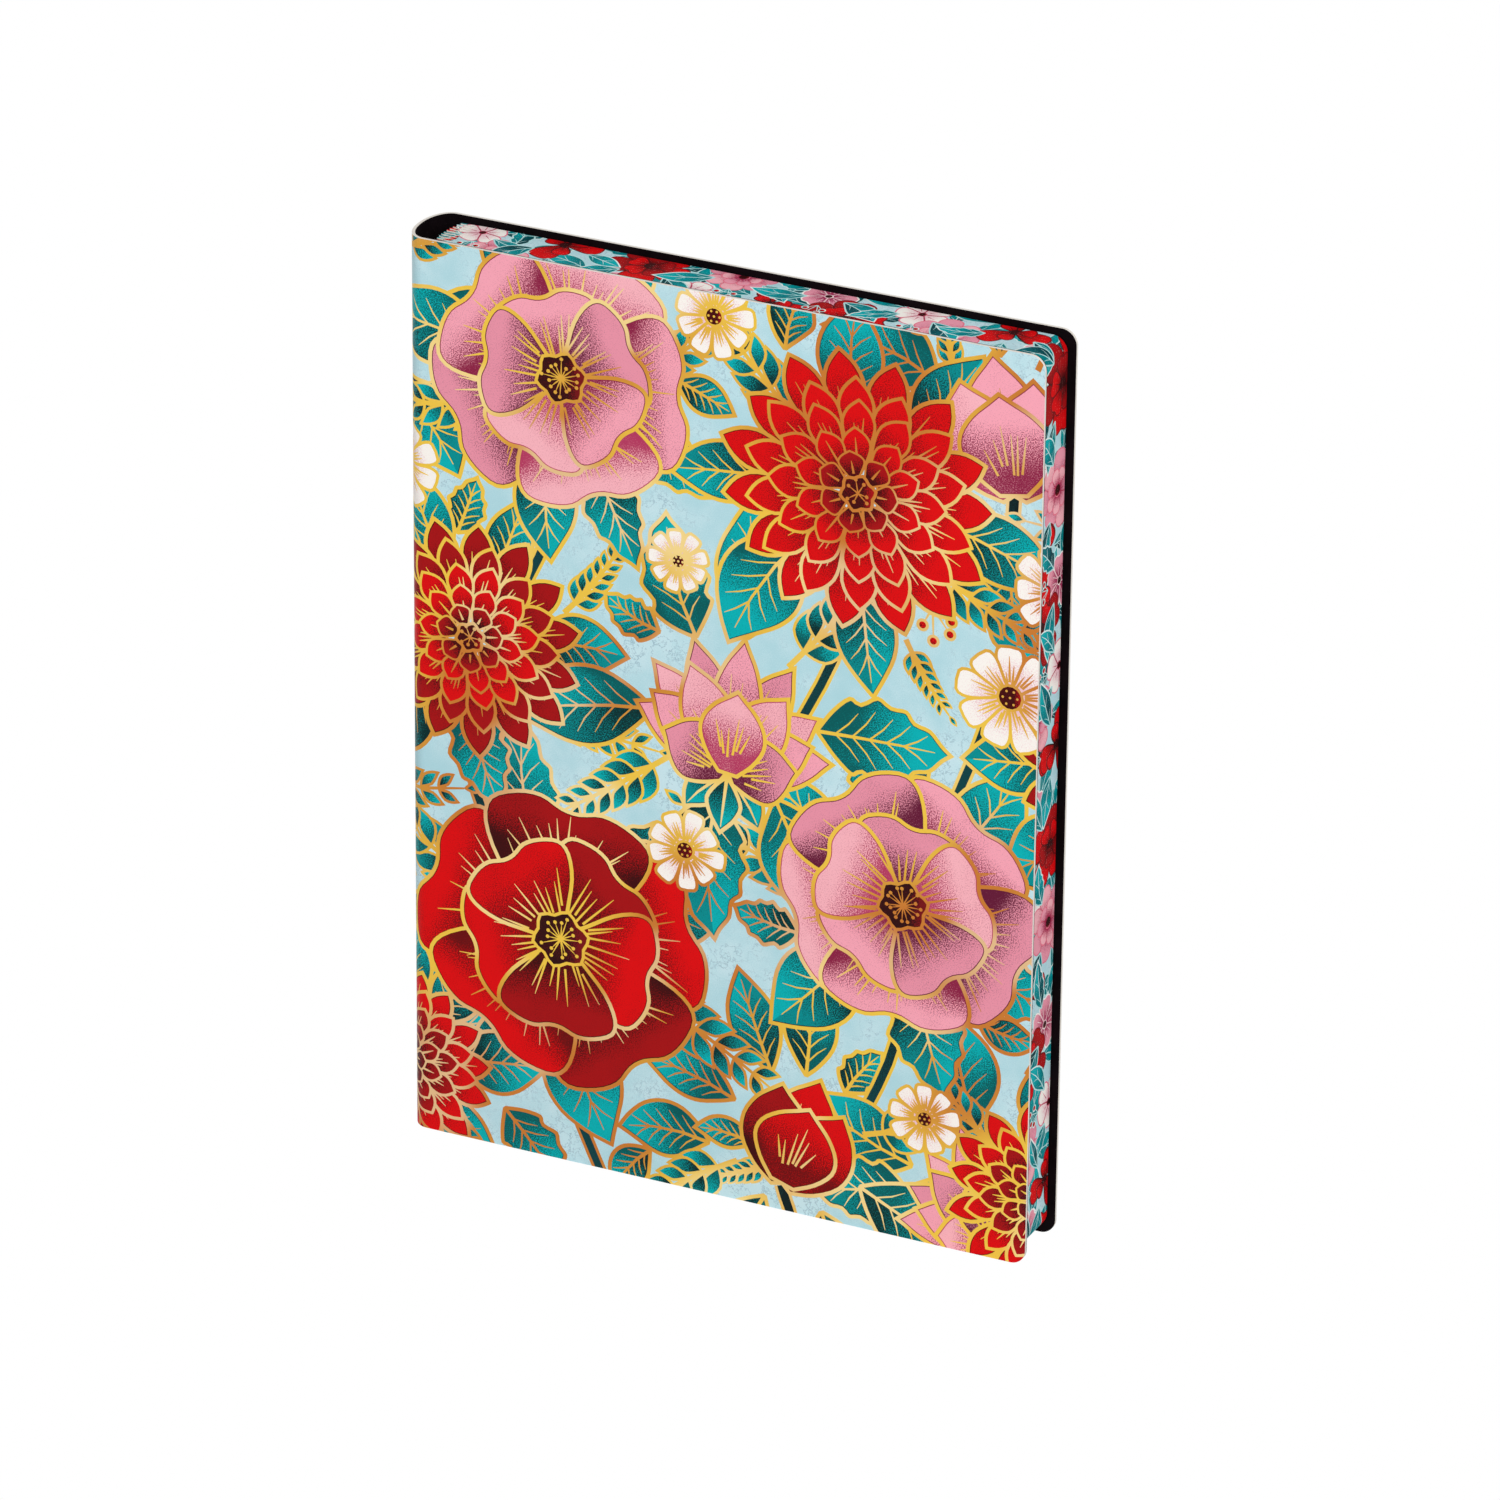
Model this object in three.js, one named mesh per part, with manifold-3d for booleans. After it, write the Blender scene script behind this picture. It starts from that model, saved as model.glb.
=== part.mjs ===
// Softcover notebook, thread sewn, with a rounded hollow spine.
// It stands on its tail. The front cover faces -Y, the spine is at -X and the fore-edge at +X.
// The origin is the centre of the bounding box's bottom face. Lengths are in millimetres.

import * as THREE from 'three';
import * as BufferGeometryUtils from 'three/addons/utils/BufferGeometryUtils.js';
import Module from 'manifold-3d';

const wasm = await Module();
wasm.setup();

// Driving dimensions

const COVER_WIDTH = 150.5;         // spine's outermost line to the covers' fore-edge
const PAGE_HEIGHT = 210;           // trimmed height of the leaves
const HEAD_SQUARE = 1.5;           // the covers stand this far past the leaves at head and at tail
const FORE_SQUARE = 1.8;           // and this far past them at the fore-edge
const CORNER_RADIUS = 3.5;         // rounded fore-edge corners of covers and leaves

const PRINT_THICKNESS = 0.2;       // laminated printed wrap
const BOARD_THICKNESS = 0.5;       // flexible card core
const LINING_THICKNESS = 0.2;      // black paper glued inside the cover
const FLYLEAF_THICKNESS = 0.2;     // black free leaf at each end of the block
const FLYLEAF_CLEARANCE = 0.1;     // air on each side of a flyleaf

const SECTION_COUNT = 12;          // folded and sewn sections
const LEAVES_PER_SECTION = 12;     // six sheets, folded once
const LEAF_THICKNESS = 0.096;      // writing paper
const SECTION_CLEARANCE = 0.03;    // air between two sections

const SPINE_DEPTH = 5;             // how far the rounded spine stands out past the hinge lines
const SPINE_HOLLOW = 3.5;          // air between the spine's lining and the block's back
const BACK_ROUNDING = 1.2;         // how far the block's back bulges in its middle
const HINGE_GAP = 0.2;             // half of the crease between spine and cover

const GAUZE_THICKNESS = 0.25;      // woven backing of the block
const GLUE_THICKNESS = 0.3;        // glue film between gauze and folds
const THREAD_DIAMETER = 0.4;       // sewing thread
const THREAD_CLEARANCE = 0.1;      // air around the thread
const STITCH_ROWS = 5;             // rows of linking stitches, counting those at head and tail
const KETTLE_INSET = 9;            // the outer rows lie this far from the leaves' head and tail
const GAUZE_INSET = 4;             // gauze and glue end this far from the leaves' head and tail

const FOLD_THICKNESS = 0.5;        // a section is thin at its fold, so that it can turn,
const KNEE_THICKNESS = 0.76;       // thickens slowly at first
const KNEE_LENGTH = 2.5;           // up to this far from its fold
const TAPER_LENGTH = 5;            // and has its full thickness this far from it
const FLYLEAF_LEAD = 0.35;         // a flyleaf starts this far nearer the spine than the first fold

// How finely the round shapes are cut

const SPINE_FACETS = 24;
const BACK_FACETS = 14;
const CORNER_FACETS = 7;
const FOLD_FACETS = 6;
const THREAD_SIDES = 6;

// Sizes that follow

const COVER_THICKNESS = PRINT_THICKNESS + BOARD_THICKNESS + LINING_THICKNESS;
const SECTION_THICKNESS = LEAVES_PER_SECTION * LEAF_THICKNESS;
const SECTION_PITCH = SECTION_THICKNESS + SECTION_CLEARANCE;
const BLOCK_THICKNESS = SECTION_COUNT * SECTION_PITCH;
const FLYLEAF_SPACE = FLYLEAF_THICKNESS + 2 * FLYLEAF_CLEARANCE;
const THICKNESS = BLOCK_THICKNESS + 2 * (FLYLEAF_SPACE + COVER_THICKNESS);
const COVER_HEIGHT = PAGE_HEIGHT + 2 * HEAD_SQUARE;

const SPINE_X = -COVER_WIDTH / 2;
const FORE_X = COVER_WIDTH / 2;
const SPINE_CENTRE_X = SPINE_X + SPINE_DEPTH;
const HINGE_X = SPINE_CENTRE_X + HINGE_GAP;
const PANEL_START_X = HINGE_X + HINGE_GAP;
const PAGE_FORE_X = FORE_X - FORE_SQUARE;
const PAGE_TAIL_Z = HEAD_SQUARE;
const PAGE_HEAD_Z = HEAD_SQUARE + PAGE_HEIGHT;

const GAUZE_BACK_X = SPINE_X + COVER_THICKNESS + SPINE_HOLLOW;
const GLUE_BACK_X = GAUZE_BACK_X + GAUZE_THICKNESS;
const THREAD_X = GLUE_BACK_X + GLUE_THICKNESS + THREAD_CLEARANCE + THREAD_DIAMETER / 2;
const FOLD_BACK_X = THREAD_X + THREAD_DIAMETER / 2 + THREAD_CLEARANCE;
const BACK_HALF = BLOCK_THICKNESS / 2;
const BACK_RADIUS = (BACK_HALF ** 2 + BACK_ROUNDING ** 2) / (2 * BACK_ROUNDING);
const BACK_CENTRE_X = FOLD_BACK_X + BACK_RADIUS;
const BACK_HALF_ANGLE = Math.asin(BACK_HALF / (BACK_CENTRE_X - GAUZE_BACK_X));

// Materials, with the colours of the photograph

function paint(color, roughness, metalness = 0) {
  return new THREE.MeshStandardMaterial({ color, roughness, metalness });
}

const printFinish = paint(0xb8dde4, 0.42);
const boardFinish = paint(0xe9e2dc, 0.9);
const liningFinish = paint(0x140a10, 0.75);
const leafFinish = paint(0xf3efe3, 0.9);
const gauzeFinish = paint(0xe6e1d2, 0.95);
const glueFinish = paint(0xd9c79a, 0.35);
const threadFinish = paint(0xf2eee6, 0.8);

// Shapes

// A flat plate between two Y planes, from an outline in X and Z.
function plate(outline, frontY, backY) {
  const geometry = new THREE.ExtrudeGeometry(outline, { depth: 1, bevelEnabled: false });
  const position = geometry.attributes.position;
  for (let i = 0; i < position.count; i += 1) {
    const y = position.getZ(i) < 0.5 ? backY : frontY;
    position.setXYZ(i, position.getX(i), y, position.getY(i));
  }
  return geometry;
}

// An upright prism between two heights, from an outline in X and Y.
function prism(outline, bottomZ, topZ) {
  const geometry = new THREE.ExtrudeGeometry(outline, { depth: 1, bevelEnabled: false });
  const position = geometry.attributes.position;
  for (let i = 0; i < position.count; i += 1) {
    position.setZ(i, position.getZ(i) < 0.5 ? bottomZ : topZ);
  }
  return geometry;
}

// A rectangle in X and Z with both corners at the fore-edge rounded.
function leafOutline(startX, endX, bottomZ, topZ) {
  const points = [new THREE.Vector2(startX, topZ), new THREE.Vector2(startX, bottomZ)];
  const corners = [[bottomZ + CORNER_RADIUS, -90], [topZ - CORNER_RADIUS, 0]];
  for (const [centreZ, firstAngle] of corners) {
    for (let i = 0; i <= CORNER_FACETS; i += 1) {
      const angle = THREE.MathUtils.degToRad(firstAngle + 90 * i / CORNER_FACETS);
      const x = endX - CORNER_RADIUS + CORNER_RADIUS * Math.cos(angle);
      points.push(new THREE.Vector2(x, centreZ + CORNER_RADIUS * Math.sin(angle)));
    }
  }
  return new THREE.Shape(points);
}

function toSolid(geometry) {
  const bare = geometry.clone();
  bare.deleteAttribute('normal');
  bare.deleteAttribute('uv');
  const merged = BufferGeometryUtils.mergeVertices(bare);
  const mesh = new wasm.Mesh({
    numProp: 3,
    vertProperties: new Float32Array(merged.attributes.position.array),
    triVerts: new Uint32Array(merged.index.array),
  });
  return new wasm.Manifold(mesh);
}

function toGeometry(solid) {
  const mesh = solid.getMesh();
  const geometry = new THREE.BufferGeometry();
  geometry.setAttribute('position', new THREE.BufferAttribute(mesh.vertProperties, 3));
  geometry.setIndex(new THREE.BufferAttribute(mesh.triVerts, 1));
  return geometry;
}

// Group and naming

const notebook = new THREE.Group();

function addPiece(name, geometry, material) {
  const mesh = new THREE.Mesh(geometry, material);
  mesh.name = name;
  notebook.add(mesh);
}

// Spine of the cover: print, card and black lining, bent round half an ellipse.

function spinePoint(angle, depth) {
  const halfThickness = THICKNESS / 2;
  const normal = new THREE.Vector2(-Math.cos(angle) / SPINE_DEPTH, Math.sin(angle) / halfThickness);
  normal.normalize();
  const x = SPINE_CENTRE_X - SPINE_DEPTH * Math.cos(angle);
  const y = halfThickness * Math.sin(angle);
  return new THREE.Vector2(x - depth * normal.x, y - depth * normal.y);
}

function spineLayer(outerDepth, innerDepth) {
  const outer = [];
  const inner = [];
  for (let i = 0; i <= SPINE_FACETS; i += 1) {
    const angle = Math.PI * (i / SPINE_FACETS - 0.5);
    outer.push(spinePoint(angle, outerDepth));
    inner.push(spinePoint(angle, innerDepth));
  }
  return prism(new THREE.Shape([...outer, ...inner.reverse()]), 0, COVER_HEIGHT);
}

const BOARD_DEPTH = PRINT_THICKNESS;
const LINING_DEPTH = PRINT_THICKNESS + BOARD_THICKNESS;
addPiece('spine_print', spineLayer(0, BOARD_DEPTH), printFinish);
addPiece('spine_card', spineLayer(BOARD_DEPTH, LINING_DEPTH), boardFinish);
addPiece('spine_lining', spineLayer(LINING_DEPTH, COVER_THICKNESS), liningFinish);

// Covers: three layers glued face to face. side is -1 at the front and 1 at the back.

function layerPlate(outline, side, outerY, innerY) {
  return side < 0 ? plate(outline, -outerY, -innerY) : plate(outline, innerY, outerY);
}

function coverLayer(side, outerDepth, innerDepth) {
  const outline = leafOutline(PANEL_START_X, FORE_X, 0, COVER_HEIGHT);
  return layerPlate(outline, side, THICKNESS / 2 - outerDepth, THICKNESS / 2 - innerDepth);
}

const SIDES = [['front', -1], ['back', 1]];
for (const [word, side] of SIDES) {
  addPiece(`${word}_print`, coverLayer(side, 0, BOARD_DEPTH), printFinish);
  addPiece(`${word}_board`, coverLayer(side, BOARD_DEPTH, LINING_DEPTH), boardFinish);
  addPiece(`${word}_lining`, coverLayer(side, LINING_DEPTH, COVER_THICKNESS), liningFinish);
}

// Block: folded sections along a rounded back

// How far the block's rounded back has drawn in at a place y across its thickness.
function backSag(y) {
  return BACK_RADIUS - Math.sqrt(BACK_RADIUS ** 2 - y ** 2);
}

function sectionY(index) {
  return (index + 0.5) * SECTION_PITCH - BACK_HALF;
}

const leafProfile = leafOutline(SPINE_X, PAGE_FORE_X, PAGE_TAIL_Z, PAGE_HEAD_Z);

// A section in plan: a round fold that thickens by two slopes, then the full thickness to the fore-edge.
function sectionSolid(index) {
  const centreY = sectionY(index);
  const foldRadius = FOLD_THICKNESS / 2;
  const kneeHalf = KNEE_THICKNESS / 2;
  const half = SECTION_THICKNESS / 2;
  const turnX = FOLD_BACK_X + backSag(centreY) + foldRadius;
  const kneeX = turnX + KNEE_LENGTH;
  const bodyX = turnX + TAPER_LENGTH;
  const points = [
    new THREE.Vector2(kneeX, centreY - kneeHalf),
    new THREE.Vector2(bodyX, centreY - half),
    new THREE.Vector2(FORE_X, centreY - half),
    new THREE.Vector2(FORE_X, centreY + half),
    new THREE.Vector2(bodyX, centreY + half),
    new THREE.Vector2(kneeX, centreY + kneeHalf),
  ];
  for (let i = 0; i <= FOLD_FACETS; i += 1) {
    const angle = Math.PI * (0.5 + i / FOLD_FACETS);
    const x = turnX + foldRadius * Math.cos(angle);
    points.push(new THREE.Vector2(x, centreY + foldRadius * Math.sin(angle)));
  }
  const upright = prism(new THREE.Shape(points), 0, COVER_HEIGHT);
  const sheets = plate(leafProfile, -THICKNESS, THICKNESS);
  return toGeometry(toSolid(upright).intersect(toSolid(sheets)));
}

for (let i = 0; i < SECTION_COUNT; i += 1) {
  addPiece(`section_${String(i + 1).padStart(2, '0')}`, sectionSolid(i), leafFinish);
}

// Flyleaves, hinged just outside the first and the last fold
for (const [word, side] of SIDES) {
  const startX = FOLD_BACK_X + backSag(sectionY(0)) - FLYLEAF_LEAD;
  const innerY = BACK_HALF + FLYLEAF_CLEARANCE;
  const outline = leafOutline(startX, PAGE_FORE_X, PAGE_TAIL_Z, PAGE_HEAD_Z);
  const leaf = layerPlate(outline, side, innerY + FLYLEAF_THICKNESS, innerY);
  addPiece(`${word}_flyleaf`, leaf, liningFinish);
}

// Back of the block: glue film, gauze and thread, all on arcs about one line.

// A strip bent round the block's back, between two X positions of its middle.
function backStrip(outerX, innerX, bottomZ, topZ) {
  const centre = new THREE.Vector2(BACK_CENTRE_X, 0);
  const outer = [];
  const inner = [];
  for (let i = 0; i <= BACK_FACETS; i += 1) {
    const angle = BACK_HALF_ANGLE * (2 * i / BACK_FACETS - 1);
    const direction = new THREE.Vector2(-Math.cos(angle), Math.sin(angle));
    outer.push(centre.clone().addScaledVector(direction, BACK_CENTRE_X - outerX));
    inner.push(centre.clone().addScaledVector(direction, BACK_CENTRE_X - innerX));
  }
  return prism(new THREE.Shape([...outer, ...inner.reverse()]), bottomZ, topZ);
}

const GAUZE_TAIL_Z = PAGE_TAIL_Z + GAUZE_INSET;
const GAUZE_HEAD_Z = PAGE_HEAD_Z - GAUZE_INSET;
const GLUE_FRONT_X = GLUE_BACK_X + GLUE_THICKNESS;
addPiece('block_gauze', backStrip(GAUZE_BACK_X, GLUE_BACK_X, GAUZE_TAIL_Z, GAUZE_HEAD_Z), gauzeFinish);
addPiece('block_glue', backStrip(GLUE_BACK_X, GLUE_FRONT_X, GAUZE_TAIL_Z, GAUZE_HEAD_Z), glueFinish);

// One thread runs along every fold, and rows of linking stitches join it from fold to fold.
function sewingThread() {
  const threadRadius = THREAD_DIAMETER / 2;
  const pathRadius = BACK_CENTRE_X - THREAD_X;
  const firstZ = PAGE_TAIL_Z + KETTLE_INSET;
  const runLength = PAGE_HEIGHT - 2 * KETTLE_INSET;
  let thread = null;
  const join = (geometry) => {
    const solid = toSolid(geometry);
    thread = thread ? thread.add(solid) : solid;
  };
  for (let i = 0; i < STITCH_ROWS; i += 1) {
    const z = firstZ + runLength * i / (STITCH_ROWS - 1);
    const outerX = THREAD_X - threadRadius;
    join(backStrip(outerX, outerX + THREAD_DIAMETER, z - threadRadius, z + threadRadius));
  }
  for (let i = 0; i < SECTION_COUNT; i += 1) {
    const angle = Math.asin(sectionY(i) / BACK_RADIUS);
    const run = new THREE.CylinderGeometry(threadRadius, threadRadius, runLength, THREAD_SIDES);
    run.rotateX(Math.PI / 2);
    const x = BACK_CENTRE_X - pathRadius * Math.cos(angle);
    run.translate(x, pathRadius * Math.sin(angle), firstZ + runLength / 2);
    join(run);
  }
  return toGeometry(thread);
}

addPiece('sewing_thread', sewingThread(), threadFinish);

export default notebook;
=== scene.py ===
"""A sewn softcover notebook with a rounded hollow spine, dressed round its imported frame.

The printed wrap is drawn flat, as areas of ink laid one over the other in millimetres, cut into
triangles along every outline, and then bent round the spine. The edges of the leaves are printed
the same way at a smaller scale.
"""

import math
import random
from itertools import product
from typing import NamedTuple

import bmesh
import bpy
import numpy as np
from mathutils import Matrix, Vector
from mathutils.geometry import delaunay_2d_cdt


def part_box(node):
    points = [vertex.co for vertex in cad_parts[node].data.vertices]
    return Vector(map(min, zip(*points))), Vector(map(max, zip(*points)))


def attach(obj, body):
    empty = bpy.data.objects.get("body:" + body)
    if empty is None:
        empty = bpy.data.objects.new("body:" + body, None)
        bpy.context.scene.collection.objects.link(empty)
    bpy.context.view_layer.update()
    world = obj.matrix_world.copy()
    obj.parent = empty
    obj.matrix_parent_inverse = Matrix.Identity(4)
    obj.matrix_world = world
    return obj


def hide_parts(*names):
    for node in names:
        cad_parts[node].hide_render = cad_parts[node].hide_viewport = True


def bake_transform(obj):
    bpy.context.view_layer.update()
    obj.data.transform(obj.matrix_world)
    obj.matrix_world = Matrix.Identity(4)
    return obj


MM = 0.001

# Drawing: outlines and inks, flat, in millimetres

GROUND, INK, FOIL = 0.0, 1.0, 2.0

SKY = ("b0dae3", "cce9f0", GROUND)
SCARLET = ("6a080b", "e1050b", INK)
CRIMSON = ("3c0507", "a80e12", INK)
MAROON = ("2c0709", "7a1216", INK)
PINK = ("8c2044", "fba8b9", INK)
PLUM = ("641636", "ec95a9", INK)
BLUSH = ("b63a60", "fdb8c2", INK)
SALMON = ("a82448", "ee7c92", INK)
CREAM = ("f0c3cb", "fffaf3", INK)
TEAL = ("005a5a", "00b4b8", INK)
PINE = ("012a2a", "009093", INK)
NIGHT = ("071c1e", "0b4246", INK)
# gold foil; its copper and yellow tones are the two ends of a painted reflection that drifts over it
GOLD = ("cb7c34", "f2c84a", FOIL)
PAPER = ("efe9e2", "f4efe9", INK)
CRACK = "7fa3b4"  # hairlines in the ground
FOIL_PAINTED_GLINT = (1.0, 0.84, 0.5, 1.0)  # painted glint: where the foil is painted palest, in linear light

# Half outlines of petals and leaves, from base to tip, as (share of length, share of half width)
ROUND_PETAL = ((0, .16), (.2, .46), (.45, .82), (.68, 1), (.87, .86), (.98, .4))
HEART_PETAL = ((0, .12), (.2, .42), (.45, .8), (.7, 1), (.88, .96), (.99, .66), (1.02, .36), (.97, .1))
POINTED_PETAL = ((0, .3), (.25, .64), (.48, .94), (.66, 1), (.82, .74), (.93, .34))
LOTUS_PETAL = ((0, .3), (.18, .72), (.4, 1), (.6, .96), (.78, .66), (.91, .27))
SPOON_PETAL = ((0, .3), (.3, .55), (.6, .92), (.8, 1), (.95, .66))
OVAL_LEAF = ((0, .06), (.12, .46), (.3, .88), (.48, 1), (.66, .85), (.82, .5), (.93, .2))
LOBED_LEAF = ((0, .06), (.12, .56), (.25, .92), (.33, .82), (.45, 1.04), (.55, .86), (.66, .84),
              (.72, .6), (.83, .5), (.92, .2))
LANCE_LEAF = ((0, .08), (.2, .62), (.45, 1), (.7, .74), (.88, .32))
LEAVES = (OVAL_LEAF, LOBED_LEAF, LANCE_LEAF)


def linear(code):
    """A colour written as six hexadecimal digits, in linear light and with its alpha."""
    shares = [int(code[i:i + 2], 16) / 255 for i in (0, 2, 4)]
    return [share / 12.92 if share <= 0.04045 else ((share + 0.055) / 1.055) ** 2.4 for share in shares] + [1]


def direction(angle):
    return np.array((math.cos(angle), math.sin(angle)))


def curve(points, steps):
    """A smooth line through points, with some steps from each to the next."""
    knots = np.asarray(points, float)
    padded = np.vstack((2 * knots[0] - knots[1], knots, 2 * knots[-1] - knots[-2]))
    before, start, end, after = padded[:-3], padded[1:-2], padded[2:-1], padded[3:]
    t = (np.arange(steps) / steps)[:, None, None]
    bent = 2 * before - 5 * start + 4 * end - after
    swung = 3 * start - before - 3 * end + after
    line = (2 * start + (end - before) * t + bent * t ** 2 + swung * t ** 3) / 2
    return np.vstack((line.transpose(1, 0, 2).reshape(-1, 2), knots[-1]))


class Axis(NamedTuple):
    """The line that a petal, leaf or stroke is drawn along. It may curl as it goes."""

    base: tuple
    heading: float
    length: float
    half_width: float
    curl: float = 0.0

    def place(self, points):
        """Where points given as (share of length, share of half width) lie on the sheet."""
        points = np.asarray(points, float)
        turned = self.heading + self.curl * points[:, 0]
        if abs(self.curl) < 0.001:
            along = np.outer(points[:, 0] * self.length, direction(self.heading))
        else:
            radius = self.length / self.curl
            along = radius * np.stack((np.sin(turned) - math.sin(self.heading),
                                       math.cos(self.heading) - np.cos(turned)), 1)
        across = np.stack((-np.sin(turned), np.cos(turned)), 1)
        return self.base + along + across * (points[:, 1] * self.half_width)[:, None]

    def blade(self, side, steps, pointed):
        """The outline of a petal or leaf, anticlockwise, from one half of its shape."""
        left = np.array(side)[::-1]
        right = left[::-1] * (1, -1)
        if not pointed:
            return self.place(curve(np.vstack((right, left)), steps))
        tip = np.array(((1.0, 0.0),))
        going = curve(np.vstack((right, tip)), steps)
        coming = curve(np.vstack((tip, left)), steps)
        return self.place(np.vstack((going, coming[1:])))


def between(start, end, half_width):
    """A straight axis from one point to another."""
    run = end - start
    return Axis(start, math.atan2(run[1], run[0]), np.linalg.norm(run), half_width)


def ribbon(points, widths):
    """A line with a width at each of its points, as an outline."""
    run = np.gradient(points, axis=0)
    run /= np.linalg.norm(run, axis=1)[:, None]
    side = np.stack((-run[:, 1], run[:, 0]), 1) * widths[:, None] / 2
    return np.vstack((points - side, (points + side)[::-1]))


def inset(outline, width):
    """An anticlockwise outline drawn in by a width, with its corners kept."""
    run = np.roll(outline, -1, 0) - outline
    run /= np.maximum(np.linalg.norm(run, axis=1), 1e-9)[:, None]
    after = np.stack((-run[:, 1], run[:, 0]), 1)
    before = np.roll(after, 1, 0)
    share = 1 + (after * before).sum(1)
    move = (after + before) / np.maximum(share, 0.25)[:, None]
    return outline + move * width


def covers(outline, points):
    """Whether each point lies inside an anticlockwise outline."""
    x, y = points[:, :1], points[:, 1:]
    (ax, ay), (bx, by) = outline.T, np.roll(outline, -1, 0).T
    turned = (bx - ax) * (y - ay) - (x - ax) * (by - ay)
    rising = ((ay <= y) & (by > y) & (turned > 0)).sum(1)
    falling = ((ay > y) & (by <= y) & (turned < 0)).sum(1)
    return rising > falling


def circle(centre, radius, sides):
    turns = np.arange(sides) * math.tau / sides
    return centre + radius * np.stack((np.cos(turns), np.sin(turns)), 1)


STROKE = 0.32  # half width of a fine stroke, as a share of the outlines' width
STROKE_WIDTHS = (1.0, 0.8, 0.25)  # at its start, middle and end, as shares


class Sheet:
    """Areas of ink laid one over the other. Each has an outline and the axis its colour runs along."""

    def __init__(self, line, line_ink, seed, rim=0.0):
        self.line = line
        self.rim = rim
        self.line_ink = line_ink
        self.areas = []
        self.draw = random.Random(seed)

    def lay(self, outline, ink, axis):
        self.areas.append((outline, ink, axis))

    def outlined(self, outline, ink, axis, line=1.0):
        width = min(self.line * line, axis.half_width * 0.45)
        self.lay(outline, self.line_ink, axis)
        if line == 1.0 and self.rim > 0:
            self.lay(inset(outline, width), (ink[0], ink[0], INK), axis)
            width += self.rim
        self.lay(inset(outline, width), ink, axis)

    def stroke(self, axis):
        """A tapered stroke of the pen."""
        points = axis.place(((0, 0), (0.5, 0), (1, 0)))
        widths = np.array(STROKE_WIDTHS) * 2 * axis.half_width
        self.lay(ribbon(points, widths), self.line_ink, axis)

    def hatch(self, axis, count, spread, reach=0.5, begin=0.2):
        """Strokes that fan out from the base of a petal."""
        for k in range(count):
            share = (k + 0.5) / count * 2 - 1 + self.draw.uniform(-0.08, 0.08)
            start = begin + self.draw.uniform(0, 0.12)
            span = (reach - 0.12 * abs(share)) * self.draw.uniform(0.55, 1)
            ends = axis.place(((start, share * spread * 0.55), (start + span, share * spread)))
            self.stroke(between(*ends, self.line * STROKE))


def petal(sheet, side, axis, ink, pointed, steps=3, line=1.0, strokes=0, spread=0.7, dark=0.0):
    """A petal that is dark up to a share of its length, and then lightens to its tip."""
    rest = Axis(axis.place(((dark, 0),))[0], axis.heading + axis.curl * dark, axis.length * (1 - dark),
                axis.half_width, axis.curl * (1 - dark))
    sheet.outlined(axis.blade(side, steps, pointed), ink, rest, line)
    sheet.hatch(axis, strokes, spread)


def eye(sheet, centre, radius, ink, dots):
    """The heart of a flower: a dark disc, filaments and a ring of anthers."""
    axis = Axis(centre, 0, radius, radius)
    sides, lobes = 24, 6
    ring = radius * (1 + 0.1 * np.sin(lobes * (np.arange(sides) * math.tau / sides)))
    sheet.outlined(circle(centre, ring[:, None], sides), ink, axis, 0.8)
    for k in range(dots):
        turn = math.tau * (k + sheet.draw.uniform(-0.25, 0.25)) / dots
        reach = radius * sheet.draw.uniform(0.45, 0.78)
        sheet.stroke(Axis(centre, turn, reach, sheet.line * 0.2))
        sheet.lay(circle(centre + direction(turn) * reach, sheet.line * 0.5, 7), sheet.line_ink, axis)


def dahlia(sheet, centre, radius, turn, inks):
    """A round head of pointed petals in rings."""
    rings = ((1.0, 15), (0.82, 14), (0.64, 12), (0.46, 10), (0.3, 7))
    for level, (reach, count) in enumerate(rings):
        outer = radius * reach
        for k in range(count):
            heading = turn + math.tau * (k + 0.5 * level) / count + sheet.draw.uniform(-0.04, 0.04)
            base = centre + direction(heading) * outer * 0.3
            length = outer * 0.7 * sheet.draw.uniform(0.94, 1.06)
            width = math.pi * outer * 0.66 / count * 1.12
            axis = Axis(base, heading, length, width, sheet.draw.uniform(-0.12, 0.12))
            line = (1.0, 0.84, 0.72, 0.6, 0.5)[level]
            petal(sheet, POINTED_PETAL, axis, inks[level // 2], True, 2, line, 3 if level < 3 else 1, 0.42)
    eye(sheet, centre, radius * 0.13, inks[-1], 7)


def rose(sheet, centre, radius, turn, inks):
    """An open flower of two rounds of broad petals round a crown of stamens."""
    for level, (reach, width) in enumerate(((1.0, 0.6), (0.68, 0.43))):
        for k in (0, 2, 4, 1, 3):
            heading = turn + math.tau * (k + 0.5 * level) / 5 + sheet.draw.uniform(-0.06, 0.06)
            length = radius * reach * sheet.draw.uniform(0.93, 1.04)
            axis = Axis(centre, heading, length, radius * width, sheet.draw.uniform(-0.1, 0.1))
            petal(sheet, HEART_PETAL, axis, inks[(k + level) % len(inks)], False, dark=(0.44, 0.08)[level])
            if level == 0:
                sheet.hatch(axis, 11, 0.8, 0.34, 0.5)
            sheet.hatch(axis, 9, 0.74)
    eye(sheet, centre, radius * 0.2, MAROON, 16)


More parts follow.
